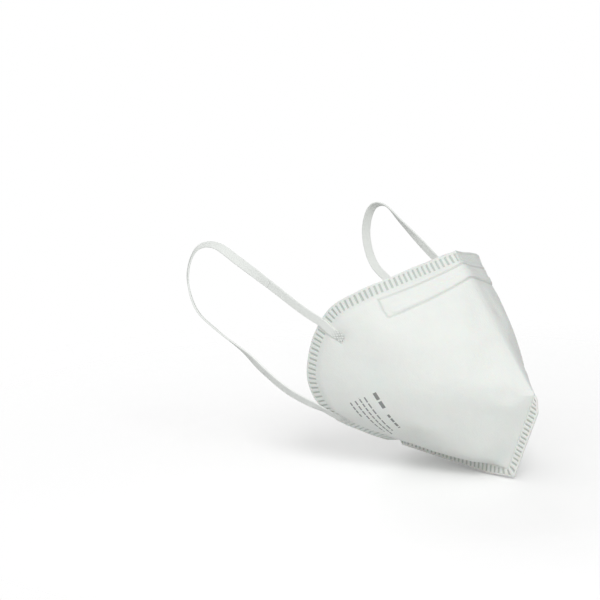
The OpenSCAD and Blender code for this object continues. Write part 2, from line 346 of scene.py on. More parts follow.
def side_grid():
    """Station, place and distance from the face opening at each point of one side's mesh."""
    t_rim = np.interp(bar_places(bars, rim_length), rim_arc, rim_keys)
    t, u = square_to_rim(t_rim, BAND_COLUMNS)
    plain = np.linspace(0, 1, INNER_COLUMNS + 1)[1:-1]
    last = [0.9925, 0.9955, 0.998, 1]
    share = np.concatenate([plain, last])
    t = np.concatenate([t, np.repeat(t[:, -1:], len(share), axis=1)], axis=1)
    u = np.concatenate([u, u[:, -1:] * (1 - share)], axis=1)
    base = skin(t, u)
    band = np.tile(BAND_COLUMNS, (len(base), 1))
    beyond = BAND + size(base[:, EDGE + 1:] - base[:, EDGE:EDGE + 1])
    return t, u, np.concatenate([band, beyond], axis=1), base


station, place, from_rim, base = side_grid()
ROWS, COLUMNS = from_rim.shape
normal = outward(station, place)
from_seam = size(base - centre(station))
seam_side = smooth((station - 0.585) / 0.03)
# 0 at the welded band and the welded seams, 1 where the layers have their full loft
open_band = smooth((from_rim - 5.9) / 4.5)
open_seam = mix(1, smooth((from_seam - 0.3) / 5), seam_side)


# ---------------------------------------------------------------- meshes


def build(name, points, faces, side, attributes=None):
    """A mesh object in metres from millimetre points, mirrored for the right side."""
    points = points * [side, 1, 1] * MM
    mesh = bpy.data.meshes.new(name)
    mesh.from_pydata(points.tolist(), [], faces)
    for key, values in (attributes or {}).items():
        values = np.asarray(values, np.float32)
        kind = "FLOAT" if values.ndim == 1 else "FLOAT_VECTOR"
        field = mesh.attributes.new(key, kind, "POINT")
        field.data.foreach_set("value" if values.ndim == 1 else "vector", values.ravel())
    work = bmesh.new()
    work.from_mesh(mesh)
    bmesh.ops.remove_doubles(work, verts=work.verts, dist=0.01 * MM)
    bmesh.ops.recalc_face_normals(work, faces=work.faces)
    work.to_mesh(mesh)
    work.free()
    mesh.shade_smooth()
    piece = bpy.data.objects.new(name, mesh)
    bpy.context.scene.collection.objects.link(piece)
    return piece


def quads(index):
    """Quads over a grid of point numbers."""
    a, b, c, d = index[:-1, :-1], index[:-1, 1:], index[1:, 1:], index[1:, :-1]
    return np.stack([a, b, c, d], axis=-1).reshape(-1, 4).tolist()


def sheet(name, outer, inner, side=1, columns=None, attributes=None, closed=False):
    """A closed sheet between two grids of points; the inner one may use only some columns."""
    rows, cols = outer.shape[:2]
    columns = list(range(cols)) if columns is None else columns
    top = np.arange(rows * cols).reshape(rows, cols)
    low = np.arange(rows * len(columns)).reshape(rows, len(columns)) + rows * cols
    faces = quads(top) + quads(low[:, ::-1])
    faces += quads(np.stack([low[:, 0], top[:, 0]], axis=1))
    faces += quads(np.stack([top[:, -1], low[:, -1]], axis=1))
    if not closed:
        for k in range(len(columns) - 1):
            a, b = columns[k], columns[k + 1]
            faces.append(top[0, a:b + 1][::-1].tolist() + [low[0, k], low[0, k + 1]])
            faces.append(top[-1, a:b + 1].tolist() + [low[-1, k + 1], low[-1, k]])
    points = np.concatenate([outer.reshape(-1, 3), inner[:, columns].reshape(-1, 3)])
    fields = {}
    for key, (above, below) in (attributes or {}).items():
        tail = above.shape[2:]
        fields[key] = np.concatenate([above.reshape((-1,) + tail), below[:, columns].reshape((-1,) + tail)])
    return build(name, points, faces, side, fields)


# ---------------------------------------------------------------- relief pressed into the cover

bar_row = np.append(np.tile(BAR_PRESS, bars), 0)[:, None]
bar_span = np.interp(from_rim, [0.9, 1.35, 5.75, 6.3], [0, 1, 1, 0])
pressed = bar_row * bar_span

# The pocket of the nose wire: where its top and low lines leave the fold, and the station and
# place where they end; seen from LOOK they are nearly straight
LOOK = unit([0.7464, -0.6263, 0.225])
POCKET_TOP = [0.052, [0.404, 0.867]]
POCKET_LOW = [0.112, [0.446, 0.733]]
POCKET_SAG = 1.0
WIRE_SHARE = 0.72


def line_across(fold_station, end):
    """Points of a nearly straight line on the skin, from the fold to an end (station, place)."""
    a, b = skin(fold_station, 0), skin(*end)
    chord = b - a
    side_way = unit(np.cross(chord, LOOK))
    side_way = side_way * np.sign((skin(end[0], 1) - b) @ side_way)
    t = mix(fold_station, end[0], np.linspace(0, 1, 160)**2)
    low, high = 0 * t, 0 * t + 1
    for _ in range(30):
        u = (low + high) / 2
        p = skin(t, u)
        s = (p - a) @ chord / (chord @ chord)
        above = (p - a) @ side_way + POCKET_SAG * 4 * s * (1 - s) > 0
        low, high = np.where(above, low, u), np.where(above, u, high)
    return skin(t, (low + high) / 2)


def pocket_line(share):
    """Line at a share of the way from the pocket's top line to its low line."""
    (top_fold, top_end), (low_fold, low_end) = POCKET_TOP, POCKET_LOW
    return line_across(mix(top_fold, low_fold, share), mix(np.array(top_end), np.array(low_end), share))


pocket_lines = np.stack([pocket_line(s) for s in np.linspace(0, 1, 17)])
outline = np.concatenate([pocket_lines[0], pocket_lines[-1]])
short_end = mix(pocket_lines[0, -1], pocket_lines[-1, -1], np.linspace(0, 1, 30)[:, None])
from_groove = nearest(base, np.concatenate([outline, short_end]))
from_wire = nearest(base, pocket_line(WIRE_SHARE)[:-6])
from_pocket = nearest(base, pocket_lines.reshape(-1, 3))
groove = 1 - smooth((from_groove - 0.25) / 0.6)
wire_ridge = 1 - smooth((from_wire - 1.5) / 1.3)

# Station and place where the ends of the elastic are pressed into the cover
TOP_WELD = [0.535, 0.875]
LOW_WELD = [0.785, 0.94]
from_weld = np.minimum(nearest(base, skin(*TOP_WELD)[None]), nearest(base, skin(*LOW_WELD)[None]))
weld_press = 1 - smooth((from_weld - 2.5) / 3.5)

# Heights and depths of the relief in millimetres
LOFT = 0.55
BAR_DEPTH, GROOVE_DEPTH, WIRE_HEIGHT, WELD_DEPTH, EDGE_DEPTH = 0.38, 0.45, 0.5, 0.25, 0.16
relief = LOFT * open_band * open_seam
low_rim = smooth((station - 0.75) / 0.05) * (1 - smooth((station - 0.87) / 0.12))
# Soft hollows and swells left by folding: station, place, radius and height in millimetres
SOFT_MARKS = [
    [0.775, 0.07, 7, -0.9],
    [0.79, 0.2, 9, 0.5],
    [0.5, 0.6, 13, 0.7],
    [0.6, 0.66, 12, -0.7],
    [0.42, 0.3, 14, 0.5],
    [0.66, 0.16, 9, -0.6],
    [0.56, 0.3, 10, 0.5],
]
for t_mark, u_mark, radius, height in SOFT_MARKS:
    swell = height * np.exp(-(size(base - skin(t_mark, u_mark)) / radius)**2)
    relief = relief + swell * open_seam * open_band
# The low rim turns outwards, by this much at its edge
FLARE = 2.6
flare = FLARE * low_rim * np.clip(1 - from_rim / 11, 0, 1)**1.5
relief = relief - BAR_DEPTH * pressed - GROOVE_DEPTH * groove
relief = relief + WIRE_HEIGHT * wire_ridge - WELD_DEPTH * weld_press
relief = relief - EDGE_DEPTH * (1 - smooth(from_rim / 0.4))
# Share of fused fabric: pressed bars, the wire pocket's groove, the welded band and the loops' weld
# patches. The materials darken it partly as the fused fabric's own grey and partly as painted shade in
# these pressed recesses
fused_and_shade = np.clip(pressed + 0.5 * groove + 0.15 * (1 - open_band) + 0.15 * weld_press, 0, 1)


# ---------------------------------------------------------------- how the fabric settles

# The cloth is simulated at this scale, grows by this share, and moves no further than the cap
CLOTH_SCALE = 10
GROWTH, PRESSURE, FRAMES = 0.007, 1.2, 24
CAP = 2.5


def cloth_settings(cloth, pressure):
    """Adds Cloth for a light fabric that is pinned by its vertex group."""
    modifier = cloth.modifiers.new("settle", "CLOTH")
    settings = modifier.settings
    settings.quality = 8
    settings.mass = 0.3
    settings.tension_stiffness = 40
    settings.compression_stiffness = 40
    settings.shear_stiffness = 20
    settings.bending_stiffness = 12
    settings.tension_damping = settings.compression_damping = settings.shear_damping = 15
    settings.air_damping = 4
    settings.vertex_group_mass = "held"
    settings.shrink_min = settings.shrink_max = -GROWTH
    settings.use_pressure = True
    settings.uniform_pressure_force = pressure
    settings.effector_weights.gravity = 0
    modifier.point_cache.frame_start = 1
    modifier.point_cache.frame_end = FRAMES


def settle(points, normals, held):
    """Cloth simulation of a grid of points; returns how far each one moves, in millimetres."""
    flat = points.reshape(-1, 3)
    numbers = np.arange(len(flat))
    faces = quads(numbers.reshape(points.shape[:2]))
    cloth = build("settling", flat * CLOTH_SCALE, faces, 1, {"number": numbers})
    kept = np.zeros(len(cloth.data.vertices), np.float32)
    cloth.data.attributes["number"].data.foreach_get("value", kept)
    kept = kept.astype(int)
    faced = np.array([v.normal for v in cloth.data.vertices])
    facing = np.sign((faced * normals.reshape(-1, 3)[kept]).sum())
    group = cloth.vertex_groups.new(name="held")
    group.add(np.flatnonzero(held.ravel()[kept]).tolist(), 1, "REPLACE")
    cloth_settings(cloth, PRESSURE * facing)
    scene = bpy.context.scene
    for number in range(1, FRAMES + 1):
        scene.frame_set(number)
    result = cloth.evaluated_get(bpy.context.evaluated_depsgraph_get()).data
    after = np.array([v.co for v in result.vertices]) / MM / CLOTH_SCALE
    bpy.data.objects.remove(cloth)
    scene.frame_set(1)
    moved = np.zeros_like(flat)
    moved[kept] = after - flat[kept]
    moved = moved.reshape(points.shape)
    for _ in range(2):
        wide = np.pad(moved, ((1, 1), (1, 1), (0, 0)), mode="edge")
        around = wide[2:, 1:-1] + wide[:-2, 1:-1] + wide[1:-1, 2:] + wide[1:-1, :-2]
        moved = 0.4 * moved + 0.15 * around
    moved = np.where(held[..., None], 0, moved)
    far = size(moved)[..., None]
    return moved * np.minimum(1, CAP / np.maximum(far, 1e-9))


def spread(coarse, keys, count):
    """Fills a number of rows from the values at some of them."""
    k = np.arange(count)
    at = np.clip(np.searchsorted(keys, k, "right") - 1, 0, len(keys) - 2)
    share = np.clip((k - keys[at]) / (keys[at + 1] - keys[at]), 0, 1)
    return mix(coarse[at], coarse[at + 1], share[:, None, None])


coarse_rows = np.append(np.arange(0, ROWS - 1, 6), ROWS - 1)
coarse_cols = np.append(np.arange(EDGE, COLUMNS - 5, 4), COLUMNS - 1)
coarse = np.ix_(coarse_rows, coarse_cols)
held = np.zeros((len(coarse_rows), len(coarse_cols)), bool)
held[:2] = held[-2:] = True
held[:, 0] = held[:, -1] = True
settled = spread(settle(base[coarse], normal[coarse], held), coarse_rows, ROWS)
settled = spread(settled.swapaxes(0, 1), coarse_cols, COLUMNS).swapaxes(0, 1)
# The sharp turn of the ribs at the tip is softened, and the cloth stays quiet near what is welded
CREASE_BLUR = 14
soft_part = smooth(from_seam / 9) * smooth((from_rim - BAND) / 12)
soft_part *= smooth((station - 0.3) / 0.15) * smooth((0.9 - station) / 0.1)
softened = (blurred(base, CREASE_BLUR) - base) * soft_part[..., None]
quiet = smooth((from_pocket - 0.5) / 7) * smooth((from_rim - 5.5) / 6) * smooth((from_seam - 0.5) / 14)
quiet *= smooth((from_weld - 2) / 7) * (1 - 0.8 * smooth((station - 0.78) / 0.06))
settled = settled * (0.7 * quiet)[..., None]
# The cover is drawn in beside the chin flange
TUCK = 1.6
tuck = smooth((station - 0.79) / 0.06) * (1 - smooth((station - 0.95) / 0.04))
tuck = TUCK * tuck * smooth(from_seam / 4) * (1 - smooth((from_seam - 10) / 16))
cloth = base + settled + softened + normal * (flare - tuck)[..., None]
outer_face = cloth + normal * relief[..., None]
cloth_normal = unit(np.cross(np.gradient(cloth, axis=0), np.gradient(cloth, axis=1)))
cloth_normal *= np.sign((cloth_normal * normal).sum(-1))[..., None]


def on_cover(t, u):
    """Points and normals of the finished cover at some stations and places."""
    skin_points = skin(t, u)
    points, normals = np.empty_like(skin_points), np.empty_like(skin_points)
    flat, moved = base.reshape(-1, 3), (outer_face - base).reshape(-1, 3)
    for k, p in enumerate(skin_points):
        near = np.argsort(size(flat - p))[:12]
        weight = 1 / (0.3 + size(flat[near] - p))
        points[k] = p + weight @ moved[near] / weight.sum()
        normals[k] = unit(weight @ cloth_normal.reshape(-1, 3)[near])
    return points, normals


# ---------------------------------------------------------------- layers under the cover

# Depths under the skin in millimetres, and the same in the welded band
WIRE_ROOM = 1.2
COVER_DEPTH, COVER_BAND = 0.35, 0.55
LINING_DEPTH, LINING_BAND = 1.69, 0.82
LINING_END, LINING_BAND_END = 1.99, 1.0


def miter(t):
    """Direction into the layers at the centre line."""
    t = t[..., None]
    fold = np.array([math.sin(FOLD_CLEAR), 0, 0]) + math.cos(FOLD_CLEAR) * BACK
    seam = unit(mix(BACK, unit(INSIDE - centre(t[..., 0])), smooth((t - TIP_AT) / 0.05)))
    return np.where(t < TIP_AT, fold, seam)


def wire_room(t):
    """Extra depth that the nose wire's pocket takes."""
    return WIRE_ROOM * (1 - smooth((t - 0.46) / 0.14))


MITER = 1.6
inner_way = mix(MITER * miter(station), -normal, smooth(from_seam / 9)[..., None])
wire_space = wire_room(station)
full = open_band * open_seam


def layer(depth, band_depth, extra=0):
    """Points at a depth under the skin, at another depth in the welded band and seams."""
    at = mix(band_depth, depth, full) + extra
    p = cloth + inner_way * at[..., None]
    closed = smooth((station - SEAM_OPENS) / 0.016) * (1 - place)**3 * np.minimum(1, depth / 1.7)
    p[..., 0] -= (SEAM_HALF - 0.03) * closed
    p[..., 0] = np.maximum(p[..., 0], 0)
    return p


# Flat directions for the weave, and the corner and directions of the block of printed dashes
CLOTH_RIGHT = unit([0.55, 0.82, 0.1])
CLOTH_UP = unit(np.cross([0.75, -0.55, 0.3], CLOTH_RIGHT))
PRINT_START = sized([52, -3.9, -16])
PRINT_ALONG = unit([-0.52, -0.31, -0.79])
PRINT_DOWN = unit([0.147, 0.886, -0.443])


def cloth_mm(points):
    """Flat coordinates for the weave."""
    return np.stack([points @ CLOTH_RIGHT, points @ CLOTH_UP, 0 * points[..., 0]], axis=-1)


def print_place(points, printed):
    """Place in the block of dashes: along a row, across the rows, and 1 on the printed side."""
    along = (points - PRINT_START) @ PRINT_ALONG
    down = (points - PRINT_START) @ PRINT_DOWN
    return np.stack([along, down, 0 * along + printed], axis=-1)


def skin_piece(name, side, outer, inner, columns, fused_and_shade_out, replaced):
    """The cover or the lining of a side, with the fields that its material reads."""
    printed = float(name == "cover_right")
    fields = {
        "fused_and_shade": (fused_and_shade_out, 0 * fused_and_shade_out),
        "cloth_mm": (cloth_mm(outer), cloth_mm(inner)),
        "print_mm": (print_place(outer, printed), print_place(inner, 0)),
    }
    piece = sheet(name, outer, inner, SIDES[side], columns, fields)
    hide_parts(*replaced)
    return piece


def bend(piece):
    """Bakes the piece's transform into its mesh."""
    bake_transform(piece)


# Columns and rows that the coarser faces use
BACK_COLUMNS = sorted(set(range(0, COLUMNS, 5)) | {1, EDGE, COLUMNS - 1})
LINING_COLUMNS = sorted(set(range(EDGE + 1)) | set(range(EDGE, COLUMNS, 2)) | {COLUMNS - 1})
LINING_BACK = list(range(0, len(LINING_COLUMNS), 6)) + [len(LINING_COLUMNS) - 1]
WEB_ROWS = np.arange(0, ROWS, 8)
WEB_COLUMNS = sorted(set(range(EDGE, COLUMNS, 8)) | {0, 6, COLUMNS - 1})
web = np.ix_(WEB_ROWS, WEB_COLUMNS)
lining = np.ix_(range(ROWS), LINING_COLUMNS)

cover_back = layer(COVER_DEPTH + 0 * full, COVER_BAND, 0.3 * groove)
lining_out = layer(LINING_DEPTH + wire_space, LINING_BAND)[lining]
lining_in = layer(LINING_END + wire_space, LINING_BAND_END, -0.12 * pressed)[lining]
# The lining's welds are darkened less: partly the fused fabric's grey, partly painted shade in the pressed
# recesses
lining_fused_and_shade = 0.7 * fused_and_shade[lining]
# Slot, outer and inner depth under the skin, and the same in the welded band
WEBS = {
    "filter_one": ("filter", 0.41, 0.71, 0.58, 0.64),
    "filter_two": ("filter", 0.77, 1.07, 0.66, 0.72),
    "support_layer": ("support", 1.13, 1.63, 0.74, 0.80),
}


def make_side(side):
    """The cover, lining and webs of a side."""
    front = skin_piece("cover_" + side, side, outer_face, cover_back, BACK_COLUMNS, fused_and_shade,
                       ["outer_cover_" + side, "outer_cover_chin", "rim_weld_" + side, "rim_weld_chin"])
    back = skin_piece("lining_" + side, side, lining_in, lining_out, LINING_BACK, lining_fused_and_shade,
                      ["inner_lining_" + side, "inner_lining_chin"])
    pieces = {"cover": [front], "lining": [back], "web": []}
    for node, (slot, top, low, band_top, band_low) in WEBS.items():
        faces = [layer(d + wire_space, band_d)[web] for d, band_d in ((top, band_top), (low, band_low))]
        piece = sheet(node + "_web_" + side, *faces, SIDES[side])
        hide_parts(node + "_" + side, node + "_chin")
        pieces["web"].append(piece)
    for group in pieces.values():
        for piece in group:
            bend(piece)
    return pieces


def fold_strip():
    """Strip of lining that bridges the fold inside."""
    t = np.linspace(0, TIP_AT, 90)
    depth = (LINING_DEPTH + wire_room(t)) * smooth((t * 152 - 1) / 9)
    depth = np.maximum(depth, 0.8)
    edge = skin(t, 0 * t) + miter(t) * MITER * depth[:, None]
    edge[:, 0] = np.maximum(edge[:, 0], 0.1) + 0.25
    rows = [edge * [s, 1, 1] - BACK * (0.45 * (1 - s**2)) for s in np.linspace(-1, 1, 9)]
    inner = np.stack(rows, axis=1)
    loose = 0 * inner[..., 0]
    fields = {"fused_and_shade": (loose, loose), "cloth_mm": (cloth_mm(inner), cloth_mm(inner))}
    strip = sheet("lining_fold_strip", inner, inner - BACK * 0.3, 1, None, fields)
    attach(strip, "centre")
    return strip


# ---------------------------------------------------------------- welded seam flange

FLANGE_PITCH = 2.75
SEAM = np.array([TIP, CORNER, CHIN])
FLANGE_EDGE = [TIP + AXIS * 3]
FLANGE_EDGE += [sized(p) for p in (FLANGE_FRONT, [0, -61.2, -65.2], FLANGE_UNDER, [0, 16.9, -61])]
# Across the flange from its outer edge: half thickness, and 1 where the bars are pressed
FLANGE_HALF = np.array([0.3, 0.5, 0.55] + [0.6] * 10)
FLANGE_WINDOW = np.array([0, 0, 0, 0, 1, 1, 1, 1, 1, 1, 0.6, 0, 0])


def flange_rays():
    """Start and direction of each row of the flange, fanning round its corners."""
    arc = arc_length(SEAM)
    count = round(arc[-1] / FLANGE_PITCH)
    places = bar_places(count, arc[-1])
    start = np.stack([np.interp(places, arc, SEAM[:, k]) for k in range(3)], axis=1)
    front = unit(CORNER - TIP)
    under = unit(CHIN - CORNER)
    turned = [np.array([0, v[2], -v[1]]) for v in (front, under)]
    end_way = unit(FLANGE_EDGE[-1] - CHIN)
    corner_share = smooth((places - arc[1] + 7) / 14)[:, None]
    way = mix(turned[0], turned[1], corner_share)
    way = mix(way, AXIS, 1 - smooth(places / 7)[:, None])
    way = mix(way, end_way, smooth((places - arc[-1] + 6) / 6)[:, None])
    press = np.append(np.tile(BAR_PRESS, count), 0)
    return start, unit(way), press


def reach(start, way):
    """Distance along each ray to the flange's outer edge."""
    best = np.full(len(start), np.inf)
    for a, b in zip(FLANGE_EDGE[:-1], FLANGE_EDGE[1:]):
        along = b - a
        det = way[:, 1] * -along[2] + way[:, 2] * along[1]
        off = a - start
        hit = (off[:, 1] * -along[2] + off[:, 2] * along[1]) / det
        part = (way[:, 1] * off[:, 2] - way[:, 2] * off[:, 1]) / det
        good = (part > -0.02) & (part < 1.02) & (hit > 0)
        best = np.where(good & (hit < best), hit, best)
    return best


def make_flange():
    """The flange in the mid-plane, with its pressed bars on both faces."""
    start, way, press = flange_rays()
    length = reach(start, way)
    outer_part, inner_part = [0, 0.12, 0.45, 0.95, 1.2], [1.3, 0.9, 0.5, 0]
    columns = [length * 0 + x for x in outer_part]
    columns += [mix(outer_part[-1], length - inner_part[0], s) for s in (0.1, 0.35, 0.65, 0.9)]
    columns += [length - x for x in inner_part]
    inset = np.clip(np.stack(columns, axis=1), 0, length[:, None])
    points = start[:, None] + way[:, None] * (length[:, None] - inset)[..., None]
    half = FLANGE_HALF + 0 * inset + FLANGE_WINDOW * (0.16 - 0.42 * press[:, None])
    sideways = half[..., None] * [1, 0, 0]
    left, right = points + sideways, points - sideways
    # Pressed rows of the flange, darkened by its material: partly the fused fabric's own grey, partly
    # painted shade in the pressed rows
    weld_and_shade = np.clip(FLANGE_WINDOW * press[:, None] + 0.15, 0, 1)
    fields = {"fused_and_shade": (weld_and_shade, weld_and_shade), "cloth_mm": (cloth_mm(left), cloth_mm(right))}
    piece = sheet("seam_flange", left, right, 1, None, fields)
    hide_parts("front_seam_weld", "chin_seam_weld")
    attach(piece, "centre")
    return piece


# ---------------------------------------------------------------- ear loops

LOOP_PATH = rows_of([
    [0, [63.5, 27.3, 19.6]],
    [1, [66.2, 38.1, 27.5]],
    [2, [69.3, 57.1, 38.4]],
    [3, [72.8, 75.9, 49.1]],
    [4, [76, 91, 57]],
    [5, [78.6, 103, 53]],
    [6, [79.8, 108, 37]],
    [7, [79.6, 102, 19.5]],
    [8, [78.6, 86.5, 9]],
    [9, [76.8, 68.5, -0.5]],
    [10, [73, 57, -10.8]],
    [11, [66, 44, -22]],
    [12, [56.2, 32.2, -30]],
], SIZE)
# Turn of the elastic about its own length, in degrees, at some keys of the path
LOOP_TILT = [[0, 2, 3, 4, 6, 8, 10, 12], [4, 8, 35, 62, 45, 62, 68, 60]]
LOOP_MIDDLE = sized([0, 84, 29])
LOOP_WIDTH, LOOP_THICK = 5.0, 0.9
RIBS = 8
STITCH = 0.9
HATCH = 2.3
# Keys where the free strap starts beyond each end, and where the rear piece takes over
TOP_FREE, TOP_JOIN, LOW_JOIN, LOW_FREE = 0.5, 2, 10, 11.6
BIGHT_KEYS = [4, 8]

# Station and place where each end of the loop is welded and where it crosses the rim
TOP_END, TOP_CROSSING = [0.538, 0.852], [0.523, 0.992]
LOW_END, LOW_CROSSING = [0.792, 0.925], [0.755, 0.995]
for row, crossing in ((0, TOP_CROSSING), (-1, LOW_CROSSING)):
    t_rim, u_rim = np.array(crossing)
    LOOP_PATH[1][row] = skin(t_rim, u_rim) + outward(t_rim, u_rim) * 0.7


def loop_frame(keys):
    """Points and normals along the free part of the loop."""
    p = curve(LOOP_PATH, keys)
    radial = unit((p - LOOP_MIDDLE) * [0, 1, 1])
    tilt = np.radians(np.interp(keys, *LOOP_TILT))[:, None]
    up = np.cos(tilt) * [1, 0, 0] + np.sin(tilt) * radial
    along = unit(curve(LOOP_PATH, keys + 0.02) - curve(LOOP_PATH, keys - 0.02))
    across = unit(np.cross(up, along))
    return p, unit(np.cross(along, across))


def end_frame(welded, crossing):
    """The same for the end that is welded on the panel, from one (station, place) to another."""
    pairs = mix(np.array(welded), np.array(crossing), np.linspace(0, 1, 9)[:, None])
    p, up = on_cover(pairs[:, 0], pairs[:, 1])
    return p + up * (0.05 + LOOP_THICK / 2), up


def hatched(along, across):
    """1 on the crossed lines pressed into a welded end."""
    lines = [np.abs(((along + way * across * 3.2) / HATCH) % 1 - 0.5) < 0.11 for way in (1, -1)]
    return np.where(lines[0] | lines[1], 1.0, 0.0)


def strap(name, p, up, press, side):
    """Flat elastic along a path; press is 1 where it is welded flat."""
    arc = arc_length(p)
    even = np.linspace(0, arc[-1], int(arc[-1] / (STITCH / 2)) + 1)
    p = blurred(curve((arc, p), even), 3, "line")
    up = unit(blurred(curve((arc, up), even), 3, "line"))
    along = unit(np.gradient(p, axis=0))
    across = unit(np.cross(up, along))
    up = unit(np.cross(along, across))[:, None]
    press = np.interp(even, arc, press)[:, None]
    half_t = LOOP_THICK / 2
    x = np.linspace(-1, 1, RIBS * 3 + 1)
    sideways = x * LOOP_WIDTH / 2
    corner_round = 1 - np.clip((np.abs(x) - 0.86) / 0.14, 0, 1)**2 * 0.75
    stitch = np.where(np.arange(len(even)) % 2 == 0, 1.0, 0.35)[:, None]
    rib = 0.07 * (0.5 - 0.5 * np.cos(2 * np.pi * RIBS * (x + 1) / 2)) * stitch * (1 - press)
    hatch = hatched(even[:, None], x) * press
    half = half_t * mix(1, 0.4, press) * corner_round + rib
    middle = p[:, None] + across[:, None] * sideways[:, None] - up * (half_t * 0.6 * press)[..., None]
    top = middle + up * (half - 0.22 * hatch)[..., None]
    low = middle - up * half[..., None]
    knit = np.stack([even[:, None] + 0 * half, sideways + 0 * half, 0 * half], axis=-1)
    # The hatch lines are darkened by the elastic's material: painted shade in the pressed lines, with some
    # of the fused elastic's own grey
    fields = {"fused_and_shade": (hatch, 0 * hatch), "knit_mm": (knit, knit)}
    piece = sheet(name, top, low, SIDES[side], None, fields)
    return piece


def joint_way(name):
    """Direction of a joint's axis."""
    axis = [j["axis"] for j in frame["joints"] if j["name"] == name][0]
    return unit(np.array(axis))


def bend_strap(piece, side, ends):
    """Bakes the strap's transform into its mesh, after working out the loop hinge's direction and the ends'
    way square to it.
    """
    hinge = joint_way(side + "_loop_swing")
    way = ends[1] - ends[0]
    way = way - hinge * (way @ hinge)
    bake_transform(piece)


def make_top(side):
    """The loop's top end, welded on the panel, and the start of its top strand."""
    welded = end_frame(TOP_END, TOP_CROSSING)
    free = loop_frame(np.linspace(TOP_FREE, TOP_JOIN, 7))
    p, up = [np.concatenate(pair) for pair in zip(welded, free)]
    press = 1 - smooth((arc_length(p) - 4.5) / 3)
    piece = strap("ear_loop_top_" + side, p, up, press, side)
    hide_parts("loop_top_end_" + side, "loop_top_strand_" + side)
    bend_strap(piece, side, curve(LOOP_PATH, [0, TOP_JOIN]) * [SIDES[side], 1, 1])
    return piece


def make_low(side):
    """The end of the loop's low strand and its low end, welded on the panel."""
    welded = end_frame(LOW_CROSSING, LOW_END)
    free = loop_frame(np.linspace(LOW_JOIN, LOW_FREE, 8))
    p, up = [np.concatenate(pair) for pair in zip(free, welded)]
    arc = arc_length(p)
    press = smooth((arc - arc[-1] + 7.5) / 3)
    piece = strap("ear_loop_low_" + side, p, up, press, side)
    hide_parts("loop_low_end_" + side, "loop_low_strand_" + side)
    bend_strap(piece, side, curve(LOOP_PATH, [12, LOW_JOIN]) * [SIDES[side], 1, 1])
    return piece


def make_rear(side):
    """The rest of the loop, round its bight, between the joins of the top and low strands."""
    keys = np.linspace(TOP_JOIN, LOW_JOIN, 81)
    piece = strap("ear_loop_rear_" + side, *loop_frame(keys), 0 * keys, side)
    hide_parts("loop_bight_" + side)
    way = joint_way(side + "_loop_stretch")
    mirror = [SIDES[side], 1, 1]
    joins = curve(LOOP_PATH, [TOP_JOIN, LOW_JOIN]) * mirror @ way
    turns = curve(LOOP_PATH, BIGHT_KEYS) * mirror @ way
    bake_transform(piece)
    return piece


# ---------------------------------------------------------------- materials


class Graph:
    """Short calls that build one material's nodes."""

    def __init__(self, name):
        self.material = bpy.data.materials.new(name)
        self.material.use_nodes = True
        self.tree = self.material.node_tree
        self.shader = self.tree.nodes["Principled BSDF"]

    def add(self, kind, inputs=None, **settings):
        node = self.tree.nodes.new("ShaderNode" + kind)
        for key, value in settings.items():
            setattr(node, key, value)
        for key, value in (inputs or {}).items():
            self.link(value, node.inputs[key])
        return node

    def link(self, value, socket):
        if isinstance(value, bpy.types.NodeSocket):
            self.tree.links.new(value, socket)
        else:
            socket.default_value = value

    def math(self, operation, a, b=0.0):
        return self.add("Math", {0: a, 1: b}, operation=operation).outputs[0]

    def times(self, first, *others):
        for other in others:
            first = self.math("MULTIPLY", first, other)
        return first

    def in_mm(self):
        position = self.add("NewGeometry").outputs["Position"]
        return self.add("VectorMath", {0: position, "Scale": 1 / MM}, operation="SCALE").outputs[0]

    def scale(self, value, low, high, to_low=0.0, to_high=1.0):
        node = self.add("MapRange", {"Value": value, "From Min": low, "From Max": high,
                                     "To Min": to_low, "To Max": to_high})
        return node.outputs[0]

    def blend(self, share, a, b):
        node = self.add("Mix", data_type="RGBA")
        self.link(share, node.inputs[0])
        self.link(a, node.inputs[6])
        self.link(b, node.inputs[7])
        return node.outputs[2]

    def attribute(self, name, output="Fac"):
        return self.add("Attribute", attribute_name=name).outputs[output]

    def noise(self, vector, scale, detail=2.0, roughness=0.5):
        return self.add("TexNoise", {"Vector": vector, "Scale": scale, "Detail": detail,
                                     "Roughness": roughness}).outputs["Fac"]

    def bump(self, height, distance, strength=1.0, normal=None):
        inputs = {"Height": height, "Distance": distance, "Strength": strength}
        if normal is not None:
            inputs["Normal"] = normal
        return self.add("Bump", inputs).outputs["Normal"]

    def finish(self, **inputs):
        for key, value in inputs.items():
            self.link(value, self.shader.inputs[key.replace("_", " ")])
        return self.material


def srgb(r, g, b):
    """Linear colour from 0-255 display values."""
    channels = [c / 255 for c in (r, g, b)]
    return tuple(c / 12.92 if c <= 0.04045 else ((c + 0.055) / 1.055)**2.4 for c in channels) + (1.0,)


def bonds(graph, where, pitch):
    """Staggered bond points of a spunbond web, 1 at their middles."""
    split = graph.add("SeparateXYZ", {0: where})
    k = 2 * math.pi / pitch
    waves = [graph.math("SINE", graph.math("MULTIPLY", split.outputs[a], k)) for a in (0, 1)]
    return graph.scale(graph.math("MULTIPLY", *waves), 0.55, 0.95)


# Rows of dashes in millimetres: distance down, start, end, half height, dash pitch
PRINT_ROWS = [
    [0.3, 0.0, 11.5, 1.1, 5.8],
    [1.0, 15.0, 26.0, 0.75, 3.6],
    [7.0, 0.0, 27.0, 0.45, 4.3],
    [10.2, -0.8, 30.0, 0.45, 3.1],
    [13.4, -0.4, 27.0, 0.45, 3.7],
    [16.8, 0.0, 11.0, 0.45, 2.9],
]


